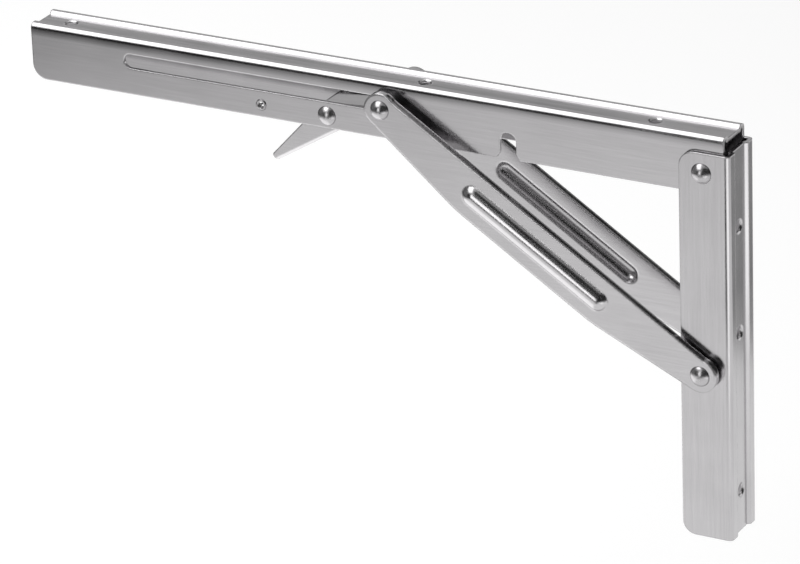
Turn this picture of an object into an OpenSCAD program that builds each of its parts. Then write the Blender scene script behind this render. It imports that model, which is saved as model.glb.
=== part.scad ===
// Folding table leg: a channel under the table, a channel on the wall, two strut plates between them
// and a spring-loaded release lever. X points to the wall, Z up, Y = 0 is the middle plane.
// The origin lies halfway between the two outer wall screws, in the middle of the sheet they go through.

/* [Overall] */
// Reach from the wall plane to the tip of the table channel
reach = 305.5; // [290:0.5:330]
// Distance from the wall plane to the wall pivot
pivot_setback = 11.6; // [11.2:0.1:13]

/* [Sheet] */
// Sheet thickness of both channels
sheet = 1.5; // [1.2:0.1:1.8]
// Outer bend radius of both channels
bend_r = 2; // [1.9:0.1:2.8]
// Side clearance between the two channels
side_gap = 0.2; // [0.1:0.05:0.4]
// Depth of the groove pressed into each web
groove_depth = 1.3; // [0.8:0.1:1.5]
// Width of the groove floor
groove_w = 10; // [9.2:0.1:10.4]
// Width of each sloping side of the groove
groove_ramp = 1; // [0.8:0.1:1.2]

/* [Table channel] */
// Outer width of the table channel
table_w = 18.8; // [18.4:0.1:22]
// Height of the table face above the wall pivot
table_rise = 14.7; // [14:0.1:15.5]
// Depth of the flange edge below the wall pivot
table_drop = 8.4; // [8:0.1:9]
// Corner radius of the flanges at the tip
tip_corner_r = 6.2; // [3:0.1:8]
// Distance from the tip to the first table screw
first_screw = 13.1; // [11:0.1:18]
// Distance from the first to the second table screw
screw_step_long = 159; // [150:1:165]
// Distance from the second to the third table screw
screw_step_short = 98; // [92:1:104]

/* [Wall channel] */
// Depth of the wall channel from the wall plane to its free edge
wall_depth = 20.9; // [19.5:0.1:22]
// Height of the wall channel above the wall pivot
wall_rise = 8.2; // [7.5:0.1:9]
// Depth of the wall channel below the wall pivot
wall_drop = 151.2; // [148:0.1:160]
// Corner radius at the top of the wall flanges
ear_corner_r = 6; // [4:0.1:7]
// Corner radius at the bottom of the wall flanges
foot_corner_r = 5.5; // [3:0.1:7]
// Depth of the upper wall screw below the wall pivot
upper_screw_drop = 24; // [22:0.5:27]
// Distance from the upper to the middle wall screw
wall_step_short = 44; // [40:0.5:48]
// Distance from the middle to the lower wall screw
wall_step_long = 66; // [62:0.5:70]

/* [Screw holes] */
// Radius of each screw hole
screw_r = 2.3; // [1.8:0.1:2.5]
// Radius of the bevelled rim of each screw hole
screw_rim_r = 3; // [2.7:0.1:3.4]

/* [Strut] */
// Thickness of each strut plate
strut_t = 3; // [2.5:0.1:3.5]
// Gap between the table channel and each strut plate
strut_gap = 3; // [2.7:0.1:3.6]
// Depth of the strut pivot below the wall pivot
strut_drop = 81.5; // [76:0.5:88]
// How much nearer the wall the strut pivot is than the wall pivot
strut_setin = 0.5; // [0.4:0.1:0.8]
// Outer radius of the round strut ends
eye_r = 6.8; // [6.6:0.1:7.1]
// Distance of the straight upper edge from the pivot line
upper_edge = 6.4; // [5.8:0.1:6.6]
// Distance of the bulged lower edge from the pivot line
lower_edge = 13.2; // [11:0.1:13.4]
// Length of the taper at each end of the bulge
strut_taper = 46; // [40:1:55]
// Rounding radius where each taper meets the bulge
taper_blend_r = 60; // [20:5:90]
// Length of the embossed rib
rib_len = 71; // [60:1:80]
// Width of the embossed rib
rib_w = 8.6; // [7:0.1:10]
// Height of the embossed rib above the plate
rib_h = 2.6; // [1.6:0.1:2.6]
// Width of the hollow behind the rib
rib_hollow_w = 7.6; // [6:0.1:8]
// Thickness of the plate at the crest of the rib
rib_wall = 2.2; // [1.8:0.1:2.4]

/* [Slide] */
// Distance from the wall pivot to the slide pin with the leg open
pin_out = 133.9; // [125:0.5:145]
// Height of the slot above the wall pivot
slot_rise = 5.5; // [5.3:0.1:5.8]
// Width of the slot
slot_w = 6.1; // [5.8:0.1:6.4]
// Distance from the wall pivot to the outer end of the slot
slot_reach = 251.5; // [248:0.5:262]
// Radius of the core of the slide pin
slide_core_r = 2.2; // [1.9:0.1:2.3]
// Radius of the collar that spaces the strut plates
collar_r = 4.6; // [4:0.1:4.8]

/* [Rivets] */
// Shaft radius of the wall pivot and strut pivot rivets
rivet_r = 2.5; // [2.2:0.1:2.6]
// Head radius of the wall pivot rivet
wall_head_r = 4.2; // [3.8:0.1:4.6]
// Height of the domed heads
dome_h = 2.6; // [2:0.1:2.9]
// Head radius of the strut pivot rivet
strut_head_r = 4.1; // [3.8:0.1:4.6]
// Height of the flatter heads of the strut pivot rivet
flat_dome_h = 1.7; // [1.2:0.1:2.2]
// Head radius of the slide pin
pin_head_r = 4; // [3.6:0.1:4.4]
// Shaft radius of the lever rivet
lever_rivet_r = 1.7; // [1.4:0.1:1.8]
// Head radius of the lever rivet
lever_head_r = 4; // [3.4:0.1:4.2]
// Height of the heads of the lever rivet
lever_dome_h = 2.2; // [1.6:0.1:2.4]
// Outer radius of the sleeve on the wall pivot rivet
sleeve_r = 3.8; // [3.4:0.1:4.4]
// Outer radius of the washers beside the strut plates
washer_r = 4.9; // [4.2:0.1:5.4]

/* [Lever] */
// Distance from the wall pivot to the lever rivet
lever_out = 160.6; // [158:0.2:164]
// Depth of the lever rivet below the wall pivot
lever_drop = 3.3; // [3.2:0.1:3.5]
// Outer width of the release lever
lever_w = 12.8; // [12:0.1:13.4]
// Sheet thickness of the release lever
lever_sheet = 1.2; // [1:0.1:1.4]
// Horizontal distance from the lever rivet to the handle tip
handle_out = 26.3; // [22:0.1:30]
// Depth of the handle tip below the lever rivet
handle_drop = 22.9; // [18:0.1:26]
// Width of the handle near its tip
handle_tip_w = 3.8; // [3.2:0.1:5]
// Distance between the lever rivet and the hollow rivet that holds the spring
anchor_out = 29.2; // [28:0.2:34]
// Outer radius of that hollow rivet
anchor_r = 2.1; // [1.8:0.1:2.3]
// Wire diameter of the lever spring
wire_d = 0.8; // [0.6:0.05:0.9]
// Number of turns of the lever spring
spring_turns = 4; // [2:1:5]

/* [Hidden] */
$fn = 64;
// Overlap of cutting tools past the faces they open
cut = 1;
// Radial running clearance of everything that turns or slides, and of parts that are pressed in
run = 0.05;
press = 0.01;
// Running clearance between flat faces
face_gap = 0.05;

// Half widths from the middle plane outwards
table_out = table_w / 2;
table_in = table_out - sheet;
wall_in = table_out + side_gap;
wall_out = wall_in + sheet;
strut_in = table_out + strut_gap;
strut_out = strut_in + strut_t;
lever_half = lever_w / 2;

// Heights and places: the middle of the outer wall screws is Z = 0, and X = 0 is the middle of the sheet
// at the bottom of the wall channel's groove, so that the wall plane lies at wall_x
wall_x = groove_depth + sheet / 2;
tip_x = wall_x - reach;
pivot_x = wall_x - pivot_setback;
pivot_z = upper_screw_drop + (wall_step_short + wall_step_long) / 2;
table_top = pivot_z + table_rise;
table_bottom = pivot_z - table_drop;
wall_top = pivot_z + wall_rise;
wall_bottom = pivot_z - wall_drop;
strut_x = pivot_x + strut_setin;
strut_z = pivot_z - strut_drop;
pin_x = pivot_x - pin_out;
pin_z = pivot_z + slot_rise;
lever_x = pivot_x - lever_out;
lever_z = pivot_z - lever_drop;
anchor_x = lever_x - anchor_out;
table_screws = [first_screw, first_screw + screw_step_long,
    first_screw + screw_step_long + screw_step_short];
wall_screws = [upper_screw_drop, upper_screw_drop + wall_step_short,
    upper_screw_drop + wall_step_short + wall_step_long];

// The strut runs from its pivot to the slide pin
strut_dx = pin_x - strut_x;
strut_dz = pin_z - strut_z;
strut_len = sqrt(strut_dx * strut_dx + strut_dz * strut_dz);
strut_angle = atan2(strut_dz, strut_dx);

// The slide bush runs in the slot, and the slot ends just past the pin on the wall side
bush_r = slot_w / 2 - 2 * run;
slot_inner_x = pin_x + run;
slot_outer_x = pivot_x - slot_reach + slot_w / 2;

// The notch lets the table channel close over the strut pivot rivet
notch_shift = 0.4;
notch_w = 7;
notch_clear = 0.4;
notch_top = pivot_z + rivet_r - strut_setin + notch_clear;
notch_x = pivot_x - strut_drop - notch_shift;
notch_flare = 1.6;
notch_flare_h = 2.4;

// Lever outline, seen from the near side, with the lever rivet at its origin
nose_back = 0.4;
nose_x = lever_out - pin_out - bush_r - nose_back;
nose_top = lever_drop + slot_rise - slot_w / 2 - 0.25;
tongue_x = -3.3;
tongue_top = nose_top - 1.5;
nose_depth = 2.2;
tip_near = [-handle_out - 1, -handle_drop + 0.9];
tip_far = [tip_near[0] + handle_tip_w * 0.72, tip_near[1] - handle_tip_w * 0.48];
heel = [4.1, -6.5];
throat = [10.5, -0.4];
tongue_fold_r = 1.2;
handle_fold_r = 1.6;

// A corner of an outline rounded to radius r, as points on its arc
function unit(v) = v / norm(v);
function corner(a, p, b, r, steps = 8) =
    let (u = unit(a - p), w = unit(b - p), half = acos(u * w) / 2,
        centre = p + unit(u + w) * r / sin(half),
        start = p + u * r / tan(half), v0 = start - centre,
        turn = (90 - half) * 2 * (cross(v0, p - centre) > 0 ? 1 : -1))
    [for (i = [0 : steps]) let (t = turn * i / steps)
        centre + [v0[0] * cos(t) - v0[1] * sin(t), v0[0] * sin(t) + v0[1] * cos(t)]];
function rounded(pts, radii, steps = 8) = let (n = len(pts))
    [for (i = [0 : n - 1]) each (radii[i] > 0
        ? corner(pts[(i + n - 1) % n], pts[i], pts[(i + 1) % n], radii[i], steps)
        : [pts[i]])];

// Extrudes an X-Z outline across the middle plane between y = from and y = to
module across(from, to) {
    translate([0, to, 0]) rotate([90, 0, 0]) linear_extrude(to - from) children();
}

// A round bar or bore along Y
module bar(x, z, r, from, to) {
    translate([x, to, z]) rotate([90, 0, 0]) cylinder(r = r, h = to - from);
}

// A domed rivet head of radius r and height h that stands on the face y = face, on one side
module dome(x, z, face, r, h, side) {
    ball_r = (r * r + h * h) / (2 * h);
    translate([x, face, z]) rotate([side > 0 ? -90 : 90, 0, 0]) intersection() {
        translate([0, 0, h - ball_r]) sphere(r = ball_r, $fn = 96);
        cylinder(r = r + cut, h = h + cut);
    }
}

// A rivet through the whole leg with a head on both sides
module rivet(x, z, r, face, head_r, head_h) {
    bar(x, z, r, -face, face);
    for (side = [-1, 1]) dome(x, z, side * face, head_r, head_h, side);
}

// A washer or sleeve round a shaft
module ring(x, z, inner, outer, from, to) {
    difference() {
        bar(x, z, outer, from, to);
        bar(x, z, inner, from - cut, to + cut);
    }
}

// Section of a channel: the web lies along y = 0 and the flanges run towards +y
module web_block(half, depth, top, r) {
    translate([-half, top + r]) square([2 * half, depth - top - r]);
    translate([-half + r, top]) square([2 * (half - r), depth - top]);
    for (s = [-1, 1]) translate([s * (half - r), top + r]) circle(r = r);
}
module channel_section(half, depth) {
    floor_half = groove_w / 2;
    ramp_half = floor_half + groove_ramp;
    spread = sheet * tan(atan2(groove_depth, groove_ramp) / 2);
    difference() {
        web_block(half, depth, 0, bend_r);
        difference() {
            web_block(half - sheet, depth + cut, sheet, bend_r - sheet);
            polygon([[-ramp_half - spread, 0], [-ramp_half - spread, sheet],
                [-floor_half - spread, sheet + groove_depth], [floor_half + spread, sheet + groove_depth],
                [ramp_half + spread, sheet], [ramp_half + spread, 0]]);
        }
        polygon([[-ramp_half, -cut], [-ramp_half, 0], [-floor_half, groove_depth],
            [floor_half, groove_depth], [ramp_half, 0], [ramp_half, -cut]]);
    }
}

// A screw hole bevelled on both faces of the groove floor, with the web's outer face at z = 0
module screw_hole() {
    bevel = sheet / 3;
    wide = 2 * screw_rim_r - screw_r;
    outer = -groove_depth;
    inner = -groove_depth - sheet;
    translate([0, 0, inner - cut]) cylinder(r = screw_r, h = sheet + 2 * cut);
    translate([0, 0, outer - bevel]) cylinder(r1 = screw_r, r2 = wide, h = 2 * bevel);
    translate([0, 0, inner - bevel]) cylinder(r1 = wide, r2 = screw_r, h = 2 * bevel);
}

module wall_side_outline() {
    edge_x = wall_x - wall_depth;
    polygon(rounded([[edge_x, wall_bottom], [wall_x + cut, wall_bottom], [wall_x + cut, wall_top],
        [edge_x, wall_top]], [foot_corner_r, 0, 0, ear_corner_r], 10));
}
module wall_channel() {
    color("#c4c3c5") difference() {
        intersection() {
            translate([wall_x, 0, wall_bottom]) linear_extrude(wall_top - wall_bottom)
                rotate([0, 0, 90]) channel_section(wall_out, wall_depth);
            across(-wall_out - cut, wall_out + cut) wall_side_outline();
        }
        for (s = wall_screws) translate([wall_x, 0, pivot_z - s]) rotate([0, 90, 0]) screw_hole();
        bar(pivot_x, pivot_z, rivet_r + press, -wall_out - cut, wall_out + cut);
        bar(strut_x, strut_z, rivet_r + press, -wall_out - cut, wall_out + cut);
    }
}

module wall_pivot_rivet() {
    color("#b9b9bd") rivet(pivot_x, pivot_z, rivet_r, wall_out, wall_head_r, dome_h);
}
module strut_pivot_rivet() {
    color("#b9b9bd") rivet(strut_x, strut_z, rivet_r, strut_out + face_gap, strut_head_r, flat_dome_h);
}
module strut_washer(side) {
    from = wall_out;
    to = strut_in - face_gap;
    color("#d2d2d6") ring(strut_x, strut_z, rivet_r + run, washer_r,
        side > 0 ? from : -to, side > 0 ? to : -from);
}
module strut_washer_near() { strut_washer(-1); }
module strut_washer_far() { strut_washer(1); }

// The wall end of the table channel is rounded about the wall pivot, so that it clears the wall web
module table_side_outline() {
    end_x = pivot_x + table_drop;
    translate([pivot_x, pivot_z]) circle(r = table_drop);
    translate([pivot_x, pivot_z]) square([table_drop, table_rise + cut]);
    polygon(rounded([[tip_x, table_bottom], [pivot_x, table_bottom], [pivot_x, table_top + cut],
        [tip_x, table_top + cut]], [tip_corner_r, 0, 0, 0], 10));
}
module notch_outline() {
    half = notch_w / 2;
    translate([notch_x, notch_top - half]) circle(r = half);
    translate([notch_x - half, table_bottom - cut]) square([notch_w, notch_top - half - table_bottom + cut]);
    polygon([[notch_x - half - notch_flare, table_bottom], [notch_x - half - notch_flare, table_bottom - cut],
        [notch_x + half + notch_flare, table_bottom - cut], [notch_x + half + notch_flare, table_bottom],
        [notch_x + half, table_bottom + notch_flare_h], [notch_x - half, table_bottom + notch_flare_h]]);
}
module slot_cut() {
    bar(slot_outer_x, pin_z, slot_w / 2, -table_out - cut, table_out + cut);
    bar(slot_inner_x, pin_z, slot_w / 2, -table_out - cut, table_out + cut);
    across(-table_out - cut, table_out + cut)
        translate([slot_outer_x, pin_z - slot_w / 2]) square([slot_inner_x - slot_outer_x, slot_w]);
}
module table_channel() {
    length = reach - pivot_setback + table_drop;
    color("#aeadb0") difference() {
        intersection() {
            translate([tip_x, 0, table_top]) rotate([0, 90, 0]) linear_extrude(length)
                rotate([0, 0, -90]) channel_section(table_out, table_rise + table_drop);
            across(-table_out - cut, table_out + cut) table_side_outline();
        }
        for (s = table_screws) translate([tip_x + s, 0, table_top]) screw_hole();
        slot_cut();
        across(-table_out - cut, table_out + cut) notch_outline();
        bar(pivot_x, pivot_z, rivet_r + run, -table_out - cut, table_out + cut);
        bar(lever_x, lever_z, lever_rivet_r + press, -table_out - cut, table_out + cut);
        bar(anchor_x, lever_z, anchor_r + press, -table_out - cut, -table_in + cut);
    }
}
module wall_pivot_sleeve() {
    color("#8f9095") ring(pivot_x, pivot_z, rivet_r + run, sleeve_r, -table_in, table_in);
}

module lever_rivet() {
    color("#b9b9bd") rivet(lever_x, lever_z, lever_rivet_r, table_out, lever_head_r, lever_dome_h);
}
module lever_washer(side) {
    from = lever_half + face_gap;
    color("#8f9095") ring(lever_x, lever_z, lever_rivet_r + run, lever_head_r,
        side > 0 ? from : -table_in, side > 0 ? table_in : -from);
}
module lever_washer_near() { lever_washer(-1); }
module lever_washer_far() { lever_washer(1); }

// A hollow rivet in the near flange, a little proud of it on both faces
module spring_anchor() {
    proud_out = 0.4;
    proud_in = 0.3;
    bore = 0.7;
    color("#9a9a9e") ring(anchor_x, lever_z, anchor_r - bore, anchor_r, -table_out - proud_out,
        -table_in + proud_in);
}

// Torsion spring: one leg hooks into the hollow rivet, the other lifts the nose of the lever.
// Its path is worked out from the coil, and a ring of eight points follows it.
coil_r = lever_rivet_r + 0.1 + wire_d / 2;
leg_angle = 24.5;
leg_len = 12.5;
coil_pitch = wire_d + 0.2;
coil_steps = 16;
function coil_point(a) = [coil_r * cos(a), (a + 90) / 360 * coil_pitch - spring_turns * coil_pitch / 2,
    coil_r * sin(a)];
spring_end_angle = -90 + 360 * spring_turns + leg_angle;
leg_y = -table_in + 0.8;
leg_bend = [0.25, 0.5];
spring_path = concat(
    [[-anchor_out - leg_bend[0], -table_out, 0], [-anchor_out, leg_y - leg_bend[1], 0],
        [-anchor_out + 0.6, leg_y, 0], [-0.75 * anchor_out, leg_y, -coil_r / 2],
        [-0.53 * anchor_out, -lever_half / 2, -coil_r], [-coil_r, coil_point(-90)[1], -coil_r]],
    [for (i = [0 : coil_steps * spring_turns]) coil_point(-90 + i * 360 / coil_steps)],
    [coil_point(spring_end_angle),
        coil_point(spring_end_angle) + leg_len * [cos(leg_angle), 0, sin(leg_angle)]]);
function spring_ring(i) = let (n = len(spring_path),
        a = spring_path[max(i - 1, 0)], b = spring_path[min(i + 1, n - 1)], t = unit(b - a),
        side = unit(cross([0, 1, 0], t)), other = cross(t, side))
    [for (k = [0 : 7]) spring_path[i] + wire_d / 2 * (side * cos(45 * k) + other * sin(45 * k))];
module lever_spring() {
    n = len(spring_path);
    pts = [for (i = [0 : n - 1]) each spring_ring(i)];
    walls = [for (i = [0 : n - 2]) for (k = [0 : 7])
        [i * 8 + k, i * 8 + (k + 1) % 8, (i + 1) * 8 + (k + 1) % 8, (i + 1) * 8 + k]];
    ends = [[for (k = [7 : -1 : 0]) k], [for (k = [0 : 7]) (n - 1) * 8 + k]];
    color("#7d7e83") translate([lever_x, 0, lever_z]) polyhedron(pts, concat(walls, ends), 4);
}

// The slide pin carries a sleeve between the flanges and a collared bush in each slot
module slide_pin() {
    color("#b9b9bd") bar(pin_x, pin_z, slide_core_r, -strut_in + 2 * face_gap, strut_in - 2 * face_gap);
}
module slide_sleeve() {
    end = table_in - 3 * face_gap;
    color("#8f9095") ring(pin_x, pin_z, slide_core_r + press, bush_r, -end, end);
}
module slide_bush(side) {
    inner = table_in - 2 * face_gap;
    shoulder = table_out + face_gap;
    end = strut_in - 2 * face_gap;
    color("#8f9095") difference() {
        union() {
            bar(pin_x, pin_z, bush_r, side > 0 ? inner : -end, side > 0 ? end : -inner);
            bar(pin_x, pin_z, collar_r, side > 0 ? shoulder : -end, side > 0 ? end : -shoulder);
        }
        bar(pin_x, pin_z, slide_core_r + press, -end - cut, end + cut);
    }
}
module slide_bush_near() { slide_bush(-1); }
module slide_bush_far() { slide_bush(1); }

// Strut plate outline along its pivot line: round eyes, a straight upper and a bulged lower edge
module strut_outline() {
    // The taper leaves each eye just inside its edge, so that the two outlines cross cleanly
    leave_r = eye_r - 0.04;
    leave_angle = atan2(-lower_edge, strut_taper) - acos(leave_r / norm([strut_taper, lower_edge]));
    leave = leave_r * [cos(leave_angle), sin(leave_angle)];
    for (u = [0, strut_len]) translate([u, 0]) circle(r = eye_r);
    polygon(rounded([[0, upper_edge], [0, 0], leave, [strut_taper, -lower_edge],
        [strut_len - strut_taper, -lower_edge], [strut_len - leave[0], leave[1]], [strut_len, 0],
        [strut_len, upper_edge]], [0, 0, 0, taper_blend_r, taper_blend_r, 0, 0, 0]));
}
// A long round-ended bead of the given width at height base, rising by rise above it
module bead(width, base, rise) {
    r = (width * width / 4 + rise * rise) / (2 * rise);
    mid = (upper_edge - lower_edge) / 2;
    straight = rib_len - rib_w;
    translate([(strut_len - straight) / 2, mid, base + rise - r]) rotate([0, 90, 0]) rotate_extrude($fn = 96)
        intersection() {
            union() {
                circle(r = r);
                translate([0, straight]) circle(r = r);
                translate([-r, 0]) square([2 * r, straight]);
            }
            translate([0, -r]) square([r, straight + 2 * r]);
        }
}
module strut_plate(side) {
    place = [strut_x, side * strut_in, strut_z];
    color("#b4b3b6") translate(place) rotate([0, -strut_angle, 0])
        mirror([0, 0, 1]) rotate([90, 0, 0]) mirror([0, 0, side > 0 ? 1 : 0]) difference() {
            union() {
                linear_extrude(strut_t) strut_outline();
                intersection() {
                    bead(rib_w, strut_t, rib_h);
                    linear_extrude(strut_t + rib_h + cut) strut_outline();
                }
            }
            bead(rib_hollow_w, 0, strut_t + rib_h - rib_wall);
            translate([0, 0, -cut]) cylinder(r = rivet_r + run, h = strut_t + 2 * cut);
            translate([strut_len, 0, -cut]) cylinder(r = slide_core_r + press, h = strut_t + 2 * cut);
        }
}
module strut_plate_near() { strut_plate(-1); }
module strut_plate_far() { strut_plate(1); }

// The heads of the slide pin, each with the end of the shaft that fills its strut plate
module pin_head(side) {
    color("#b9b9bd") {
        bar(pin_x, pin_z, slide_core_r, side > 0 ? strut_in + face_gap : -strut_out,
            side > 0 ? strut_out : -strut_in - face_gap);
        dome(pin_x, pin_z, side * strut_out, pin_head_r, dome_h, side);
    }
}
module pin_head_near() { pin_head(-1); }
module pin_head_far() { pin_head(1); }

// The lever is one folded sheet: two side plates joined by the tongue on top and the handle's web
module lever_outline() {
    polygon(rounded([[nose_x, nose_top], [tongue_x, tongue_top], tip_near, tip_far, heel, throat,
        [nose_x, nose_top - nose_depth]], [0.6, 3, 1.4, 1.4, 3, 6, 0.6]));
}
// Cutter that rounds both folds of a web that runs from a to b, with its outside on the left.
// The rounding starts just inside each face, so that it crosses the faces cleanly.
module fold_cutter(a, b, r) {
    inset = 0.02;
    length = norm(b - a);
    translate([a[0], 0, a[1]]) rotate([0, -atan2(b[1] - a[1], b[0] - a[0]), 0])
        for (side = [-1, 1]) translate([-cut, side * (lever_half - r + inset), inset - r]) difference() {
            translate([0, side > 0 ? 0 : -r - cut, 0]) cube([length + 2 * cut, r + cut, r + cut]);
            translate([-cut, 0, 0]) rotate([0, 90, 0]) cylinder(r = r, h = length + 4 * cut);
        }
}
// What the fold leaves open between the side plates, so that only the two webs stay
module lever_hollow() {
    t = lever_sheet;
    top_slope = (nose_top - tongue_top) / (nose_x - tongue_x);
    grip = unit(heel - tip_far);
    inward = [-grip[1], grip[0]] * t;
    polygon([[nose_x + cut, nose_top - t + top_slope * cut], [-1.2, tongue_top - t + 0.1],
        [-3.2, tongue_top - t - 0.9], [-4.6, tongue_top - 1.6], [-handle_out - 6, tongue_top - 6],
        [-handle_out - 6, tip_near[1]], tip_far + inward + 2.2 * grip, heel + inward - 3 * grip,
        heel - 2 * grip + [0.5, -1.6], [nose_x + cut, heel[1]]]);
}
module release_lever() {
    inner = lever_half - lever_sheet;
    color("#a9a8ab") translate([lever_x, 0, lever_z]) difference() {
        across(-lever_half, lever_half) lever_outline();
        across(-inner, inner) lever_hollow();
        bar(0, 0, lever_rivet_r + run, -lever_half - cut, lever_half + cut);
        fold_cutter([tongue_x, tongue_top], [nose_x, nose_top], tongue_fold_r);
        fold_cutter(heel, tip_far, handle_fold_r);
    }
}

wall_channel();
wall_pivot_rivet();
strut_pivot_rivet();
strut_washer_near();
strut_washer_far();
table_channel();
wall_pivot_sleeve();
lever_rivet();
lever_washer_near();
lever_washer_far();
lever_spring();
spring_anchor();
slide_pin();
slide_sleeve();
slide_bush_near();
slide_bush_far();
strut_plate_near();
strut_plate_far();
pin_head_near();
pin_head_far();
release_lever();
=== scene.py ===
import math

import bpy
from mathutils import Matrix, Vector


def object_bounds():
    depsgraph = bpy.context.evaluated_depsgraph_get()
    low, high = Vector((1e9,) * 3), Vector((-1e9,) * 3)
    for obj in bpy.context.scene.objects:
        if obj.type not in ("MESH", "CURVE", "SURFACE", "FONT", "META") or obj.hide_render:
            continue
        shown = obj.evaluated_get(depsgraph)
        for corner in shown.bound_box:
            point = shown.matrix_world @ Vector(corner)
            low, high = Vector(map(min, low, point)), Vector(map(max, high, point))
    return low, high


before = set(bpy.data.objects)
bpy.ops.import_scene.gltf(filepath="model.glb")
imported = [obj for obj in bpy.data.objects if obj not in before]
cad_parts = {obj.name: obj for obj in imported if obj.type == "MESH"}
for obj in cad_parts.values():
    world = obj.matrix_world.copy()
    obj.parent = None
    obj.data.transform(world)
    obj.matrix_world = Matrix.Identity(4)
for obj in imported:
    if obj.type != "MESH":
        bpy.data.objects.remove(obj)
cad_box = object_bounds()
scene = bpy.context.scene
scene.view_settings.view_transform = "Standard"

# Camera: the photo's viewing angle, measured on the rivets, screw holes and channel corners
CAMERA_AZIMUTH = math.radians(28.93)
CAMERA_ELEVATION = math.radians(23.86)
CAMERA_ROLL = math.radians(-2.07)
CAMERA_DISTANCE = 2.1077
CAMERA_TARGET = Vector((-0.14565, 0.0, 0.0059))
CAMERA_LENS_MM = 242.2

# Studio: the floor lies just below the tip of the folded leg
FLOOR_Z = -0.222
# Centre of the pool of light on the floor, and how bright its reflection is by distance from there
POOL_CENTRE = (-0.03, -0.12)
POOL_REACH = 1.25
POOL_STEPS = ((0.0, 0.98), (0.3, 0.96), (0.45, 0.92), (0.55, 0.83), (0.64, 0.7), (0.78, 0.3), (0.92, 0.03))

# Beyond these distances behind and to the right of the pool's centre, the floor is lit to the far level
FAR_BEHIND = (0.6, 0.85)
FAR_RIGHT = (0.9, 1.15)
FAR_LEVEL = 0.75

# Steel: how far each noise darkens and brightens the sheet, and how fine it is, per metre
FINE_SCALE = 1500.0
FINE_SHADE = (0.95, 1.04)
BROAD_SCALE = 320.0
BROAD_SHADE = (0.975, 1.025)
CLOUD_SCALE = 45.0
CLOUD_SHADE = (0.93, 1.06)
CLOUD_ROUGHNESS = (0.8, 1.25)
# Along the rolling direction the noises are stretched, so that they become streaks
STREAK_STRETCH = 0.03
# The fine streaks' depth as a share of the broad ones', and how much the broad ones dull a groove floor
FINE_DEPTH = 0.1
GROOVE_DULL = (0.3, 0.0)

# Table channel: where its flanges begin to lean into the bend, how fast, and half its groove floor
FOLD_START = cad_box[1][2] - 0.0052
FOLD_CURVE = 18.0
GROOVE_HALF = 0.0052

SHEET = (0.56, 0.55, 0.56)


def make_camera():
    sa, ca = math.sin(CAMERA_AZIMUTH), math.cos(CAMERA_AZIMUTH)
    se, ce = math.sin(CAMERA_ELEVATION), math.cos(CAMERA_ELEVATION)
    back = Vector((sa * ce, -ca * ce, se))
    level = Vector((ca, sa, 0.0))
    upright = back.cross(level)
    sr, cr = math.sin(CAMERA_ROLL), math.cos(CAMERA_ROLL)
    right = cr * level + sr * upright
    up = cr * upright - sr * level
    data = bpy.data.cameras.new("camera")
    data.lens = CAMERA_LENS_MM
    data.sensor_width = 36.0
    data.clip_end = 50.0
    cam = bpy.data.objects.new("camera", data)
    place = CAMERA_TARGET + back * CAMERA_DISTANCE
    cam.matrix_world = Matrix((
        (right.x, up.x, back.x, place.x),
        (right.y, up.y, back.y, place.y),
        (right.z, up.z, back.z, place.z),
        (0.0, 0.0, 0.0, 1.0)))
    scene.collection.objects.link(cam)
    scene.camera = cam


class Nodes:
    """Short form for building a node tree."""

    def __init__(self, tree):
        self.tree = tree
        tree.nodes.clear()

    def add(self, kind, **settings):
        node = self.tree.nodes.new(kind)
        for key, value in settings.items():
            setattr(node, key, value)
        return node

    def link(self, a, b):
        self.tree.links.new(a, b)

    def value(self, operation, a, b):
        node = self.add("ShaderNodeMath", operation=operation)
        for i, v in enumerate((a, b)):
            if isinstance(v, (int, float)):
                node.inputs[i].default_value = v
            else:
                self.link(v, node.inputs[i])
        return node.outputs[0]

    def seen(self):
        """1 for camera rays and for reflected and transmitted rays, which all see the white studio."""
        path = self.add("ShaderNodeLightPath")
        some = self.value("ADD", path.outputs["Is Camera Ray"], path.outputs["Is Glossy Ray"])
        return self.value("MINIMUM", self.value("ADD", some, path.outputs["Is Transmission Ray"]), 1.0)


def make_world():
    world = bpy.data.worlds.new("studio")
    scene.world = world
    world.use_nodes = True
    n = Nodes(world.node_tree)
    plain = n.add("ShaderNodeBackground")
    plain.inputs["Color"].default_value = (0.9, 0.9, 0.9, 1)
    plain.inputs["Strength"].default_value = 0.55
    white = n.add("ShaderNodeBackground")
    white.inputs["Color"].default_value = (1, 1, 1, 1)
    white.inputs["Strength"].default_value = 1.0
    mix = n.add("ShaderNodeMixShader")
    out = n.add("ShaderNodeOutputWorld")
    n.link(n.seen(), mix.inputs[0])
    n.link(plain.outputs[0], mix.inputs[1])
    n.link(white.outputs[0], mix.inputs[2])
    n.link(mix.outputs[0], out.inputs["Surface"])


def plane(name, centre, normal, width, height):
    """A flat rectangle whose width is level, as part of the studio."""
    mesh = bpy.data.meshes.new(name)
    w, h = width / 2, height / 2
    mesh.from_pydata([(-w, -h, 0), (w, -h, 0), (w, h, 0), (-w, h, 0)], [], [(0, 1, 2, 3)])
    obj = bpy.data.objects.new(name, mesh)
    back = Vector(normal).normalized()
    level = Vector((0, 0, 1)).cross(back)
    level = level.normalized() if level.length > 1e-6 else Vector((1, 0, 0))
    up = back.cross(level)
    obj.matrix_world = Matrix((
        (level.x, up.x, back.x, centre[0]),
        (level.y, up.y, back.y, centre[1]),
        (level.z, up.z, back.z, centre[2]),
        (0.0, 0.0, 0.0, 1.0)))
    scene.collection.objects.link(obj)
    return obj


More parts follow.
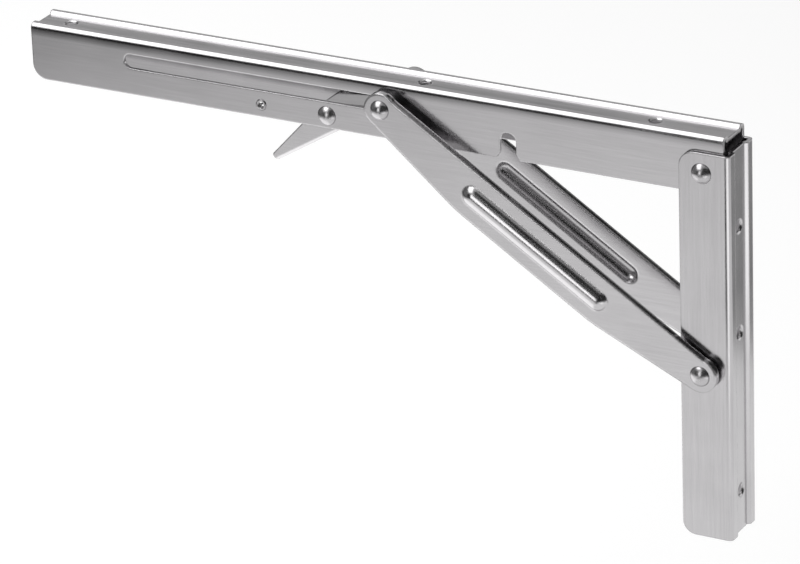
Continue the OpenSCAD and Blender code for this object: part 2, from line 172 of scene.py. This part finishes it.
def make_floor():
    floor = plane("floor", (0, 0, FLOOR_Z), (0, 0, 1), 12.0, 12.0)
    mat = bpy.data.materials.new("floor")
    mat.use_nodes = True
    n = Nodes(mat.node_tree)
    diffuse = n.add("ShaderNodeBsdfDiffuse")
    diffuse.inputs["Color"].default_value = (0.62, 0.62, 0.62, 1)
    glow = n.add("ShaderNodeEmission")
    glow.inputs["Color"].default_value = (1, 1, 1, 1)
    glow.inputs["Strength"].default_value = 0.48
    none = n.add("ShaderNodeEmission")
    none.inputs["Strength"].default_value = 0.0
    lift = n.add("ShaderNodeMixShader")
    total = n.add("ShaderNodeAddShader")
    out = n.add("ShaderNodeOutputMaterial")
    n.link(n.seen(), lift.inputs[0])
    n.link(none.outputs[0], lift.inputs[1])
    n.link(glow.outputs[0], lift.inputs[2])
    n.link(diffuse.outputs[0], total.inputs[0])
    n.link(lift.outputs[0], total.inputs[1])
    n.link(total.outputs[0], out.inputs["Surface"])
    floor.data.materials.append(mat)


def only_reflected(obj):
    """The metal mirrors this card, and nothing else sees it or is shaded by it."""
    obj.visible_camera = False
    obj.visible_diffuse = False
    obj.visible_shadow = False
    obj.visible_transmission = False
    obj.visible_volume_scatter = False


def make_pool():
    """The lit floor as the metal mirrors it: bright below and behind the leg, dark in front and left."""
    pool = plane("light_pool", (*POOL_CENTRE, FLOOR_Z + 0.002), (0, 0, 1), 7.0, 7.0)
    mat = bpy.data.materials.new("light_pool")
    mat.use_nodes = True
    n = Nodes(mat.node_tree)
    place = n.add("ShaderNodeTexCoord")
    shrink = n.add("ShaderNodeMapping")
    shrink.inputs["Scale"].default_value = (1 / POOL_REACH, 1 / POOL_REACH, 1)
    n.link(place.outputs["Object"], shrink.inputs["Vector"])
    ball = n.add("ShaderNodeTexGradient", gradient_type="SPHERICAL")
    n.link(shrink.outputs[0], ball.inputs["Vector"])
    ramp = n.add("ShaderNodeValToRGB")
    ramp.color_ramp.interpolation = "EASE"
    marks = ramp.color_ramp.elements
    while len(marks) < len(POOL_STEPS):
        marks.new(0.5)
    for mark, (distance, level) in zip(marks, reversed(POOL_STEPS)):
        mark.position = 1.0 - distance
        mark.color = (level, level, level, 1)
    n.link(ball.outputs["Fac"], ramp.inputs["Fac"])
    sides = n.add("ShaderNodeSeparateXYZ")
    n.link(place.outputs["Object"], sides.inputs[0])
    level = ramp.outputs["Color"]
    for side, (start, full) in (("X", FAR_RIGHT), ("Y", FAR_BEHIND)):
        far = n.add("ShaderNodeMapRange")
        far.inputs["From Min"].default_value = start
        far.inputs["From Max"].default_value = full
        far.inputs["To Max"].default_value = FAR_LEVEL
        n.link(sides.outputs[side], far.inputs["Value"])
        level = n.value("MAXIMUM", level, far.outputs[0])
    glow = n.add("ShaderNodeEmission")
    n.link(level, glow.inputs["Color"])
    out = n.add("ShaderNodeOutputMaterial")
    n.link(glow.outputs[0], out.inputs["Surface"])
    pool.data.materials.append(mat)
    only_reflected(pool)


def card(name, centre, normal, width, height, level):
    """A plain card, dark or bright, that only shows as a reflection in the metal."""
    obj = plane(name, centre, normal, width, height)
    mat = bpy.data.materials.new(name)
    mat.use_nodes = True
    n = Nodes(mat.node_tree)
    glow = n.add("ShaderNodeEmission")
    glow.inputs["Color"].default_value = (level, level, level, 1)
    glow.inputs["Strength"].default_value = 1.0
    out = n.add("ShaderNodeOutputMaterial")
    n.link(glow.outputs[0], out.inputs["Surface"])
    obj.data.materials.append(mat)
    only_reflected(obj)


def lamp(name, centre, target, width, height, power):
    data = bpy.data.lights.new(name, "AREA")
    data.shape = "RECTANGLE"
    data.size = width
    data.size_y = height
    data.energy = power
    obj = bpy.data.objects.new(name, data)
    obj.location = centre
    obj.rotation_euler = (Vector(centre) - Vector(target)).to_track_quat("Z", "Y").to_euler()
    scene.collection.objects.link(obj)


def make_lights():
    lamp("top_box", (-0.75, -0.25, 1.15), (-0.75, -0.25, 0.0), 1.0, 1.9, 13.0)
    # A tall narrow window in front, which gives ribs, rivet heads and edges their bright streak
    card("front_window", (-0.33, -1.6, 0.33), (0, 1, 0), 0.44, 0.9, 2.2)
    # The dark room round the set, which the bends of the sheet and the rivet heads mirror
    card("dark_front", (-0.3, -1.7, 0.42), (0, 1, 0), 4.4, 1.35, 0.02)
    card("dark_right", (1.5, -0.4, 0.6), (-1, 0, 0), 2.6, 1.7, 0.03)
    card("dark_above", (0.75, -1.1, 1.3), (-0.5, 0.65, -0.75), 1.5, 1.0, 0.02)
    card("dark_left", (-1.9, -0.3, 0.6), (1, 0, 0), 2.8, 1.7, 0.18)
    card("grey_ceiling", (0.0, -0.2, 1.8), (0, 0, -1), 4.4, 4.0, 0.5)
    # The grey wall behind, which the upward faces mirror, and the dark gap beside it
    card("grey_back", (-0.9, 1.3, 0.6), (0.3, -1, 0), 2.4, 1.6, 0.5)
    card("dark_back", (0.12, 1.0, 0.72), (0, -1, -0.4), 0.7, 0.5, 0.02)
    # A bright patch on the floor, which the lower slopes of the ribs mirror
    card("rib_patch", (-0.42, -0.04, FLOOR_Z + 0.004), (0, 0, 1), 0.46, 0.46, 1.5)
    # Patches on the floor that the wall channel's upright bends and back mirror near their top
    card("dark_patch_front", (-0.05, -0.66, FLOOR_Z + 0.004), (0, 0, 1), 0.3, 0.3, 0.03)
    card("bright_patch", (0.46, -0.52, FLOOR_Z + 0.004), (0, 0, 1), 0.4, 0.4, 1.7)
    card("dim_patch_back", (0.36, 0.62, FLOOR_Z + 0.004), (0, 0, 1), 0.36, 0.36, 0.3)


def steel(name, tint, rough, streak_axis, streak_depth=0.000004, edge=0.0007, fold=None, floor=None):
    """Polished sheet steel with rolling streaks along one axis, clouding and edges of radius edge.

    fold = (axis, start, curve): the sheet leans into its bend from start on, along that axis.
    floor = (axis, half_width): the groove floor about the middle, rolled duller and more streaky."""
    mat = bpy.data.materials.new(name)
    mat.use_nodes = True
    n = Nodes(mat.node_tree)
    place = n.add("ShaderNodeTexCoord")

    def streaks(across, detail):
        stretch = n.add("ShaderNodeMapping")
        scale = [across, across, across]
        scale["XYZ".index(streak_axis)] = across * STREAK_STRETCH
        stretch.inputs["Scale"].default_value = scale
        n.link(place.outputs["Object"], stretch.inputs["Vector"])
        noise = n.add("ShaderNodeTexNoise")
        noise.inputs["Scale"].default_value = 1.0
        noise.inputs["Detail"].default_value = detail
        noise.inputs["Roughness"].default_value = 0.6
        n.link(stretch.outputs[0], noise.inputs["Vector"])
        return noise.outputs["Fac"]

    def spread(source, low, high):
        shade = n.add("ShaderNodeMapRange")
        shade.inputs["From Min"].default_value = 0.25
        shade.inputs["From Max"].default_value = 0.75
        shade.inputs["To Min"].default_value = low
        shade.inputs["To Max"].default_value = high
        n.link(source, shade.inputs["Value"])
        return shade.outputs[0]

    fine = streaks(FINE_SCALE, 3.0)
    broad = streaks(BROAD_SCALE, 2.0)
    clouds = n.add("ShaderNodeTexNoise")
    clouds.inputs["Scale"].default_value = CLOUD_SCALE
    clouds.inputs["Detail"].default_value = 4.0
    n.link(place.outputs["Object"], clouds.inputs["Vector"])
    shade = n.value("MULTIPLY", spread(fine, *FINE_SHADE), spread(broad, *BROAD_SHADE))
    shade = n.value("MULTIPLY", shade, spread(clouds.outputs["Fac"], *CLOUD_SHADE))
    if floor:
        axis, half_width = floor
        parts = n.add("ShaderNodeSeparateXYZ")
        n.link(place.outputs["Object"], parts.inputs[0])
        inside = n.value("LESS_THAN", n.value("ABSOLUTE", parts.outputs[axis], 0.0), half_width)
        dull = n.value("MULTIPLY", inside, spread(broad, *GROOVE_DULL))
        shade = n.value("MULTIPLY", shade, n.value("SUBTRACT", 1.0, dull))
    colour = n.add("ShaderNodeVectorMath", operation="SCALE")
    colour.inputs[0].default_value = tint
    n.link(shade, colour.inputs["Scale"])
    height = n.value("MULTIPLY", broad, streak_depth)
    height = n.value("ADD", height, n.value("MULTIPLY", fine, streak_depth * FINE_DEPTH))
    if fold:
        axis, start, curve = fold
        parts = n.add("ShaderNodeSeparateXYZ")
        n.link(place.outputs["Object"], parts.inputs[0])
        past = n.value("MAXIMUM", n.value("SUBTRACT", parts.outputs[axis], start), 0.0)
        lean = n.value("MULTIPLY", n.value("MULTIPLY", past, past), -curve / 2)
        height = n.value("ADD", height, lean)
    edges = n.add("ShaderNodeBevel", samples=6)
    edges.inputs["Radius"].default_value = edge
    bump = n.add("ShaderNodeBump")
    bump.inputs["Strength"].default_value = 1.0
    bump.inputs["Distance"].default_value = 1.0
    n.link(height, bump.inputs["Height"])
    n.link(edges.outputs[0], bump.inputs["Normal"])
    shader = n.add("ShaderNodeBsdfPrincipled")
    shader.inputs["Metallic"].default_value = 1.0
    n.link(colour.outputs[0], shader.inputs["Base Color"])
    smooth, dull_patch = (rough * share for share in CLOUD_ROUGHNESS)
    n.link(spread(clouds.outputs["Fac"], smooth, dull_patch), shader.inputs["Roughness"])
    n.link(bump.outputs[0], shader.inputs["Normal"])
    out = n.add("ShaderNodeOutputMaterial")
    n.link(shader.outputs[0], out.inputs["Surface"])
    return mat


def dress(mat, *names):
    for name in names:
        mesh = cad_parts[name].data
        for i in range(len(mesh.materials)):
            mesh.materials[i] = mat


make_camera()
make_world()
make_floor()
make_pool()
make_lights()

dress(steel("table_sheet", SHEET, 0.17, "X", fold=("Z", FOLD_START, FOLD_CURVE), floor=("Y", GROOVE_HALF)),
      "table_channel")
dress(steel("wall_sheet", SHEET, 0.17, "Z"), "wall_channel")
dress(steel("strut_sheet", SHEET, 0.17, "X", edge=0.0013), "strut_plate_near", "strut_plate_far")
dress(steel("lever_sheet", (0.6, 0.59, 0.6), 0.17, "X"), "release_lever")
dress(steel("rivet_head", (0.5, 0.49, 0.5), 0.25, "Y"), "wall_pivot_rivet", "strut_pivot_rivet",
      "lever_rivet", "pin_head_near", "pin_head_far", "slide_pin", "spring_anchor")
dress(steel("turned", (0.42, 0.42, 0.425), 0.25, "Y"), "wall_pivot_sleeve", "lever_washer_near",
      "lever_washer_far", "strut_washer_near", "strut_washer_far", "slide_sleeve", "slide_bush_near",
      "slide_bush_far")
dress(steel("wire", (0.35, 0.35, 0.355), 0.3, "X"), "lever_spring")
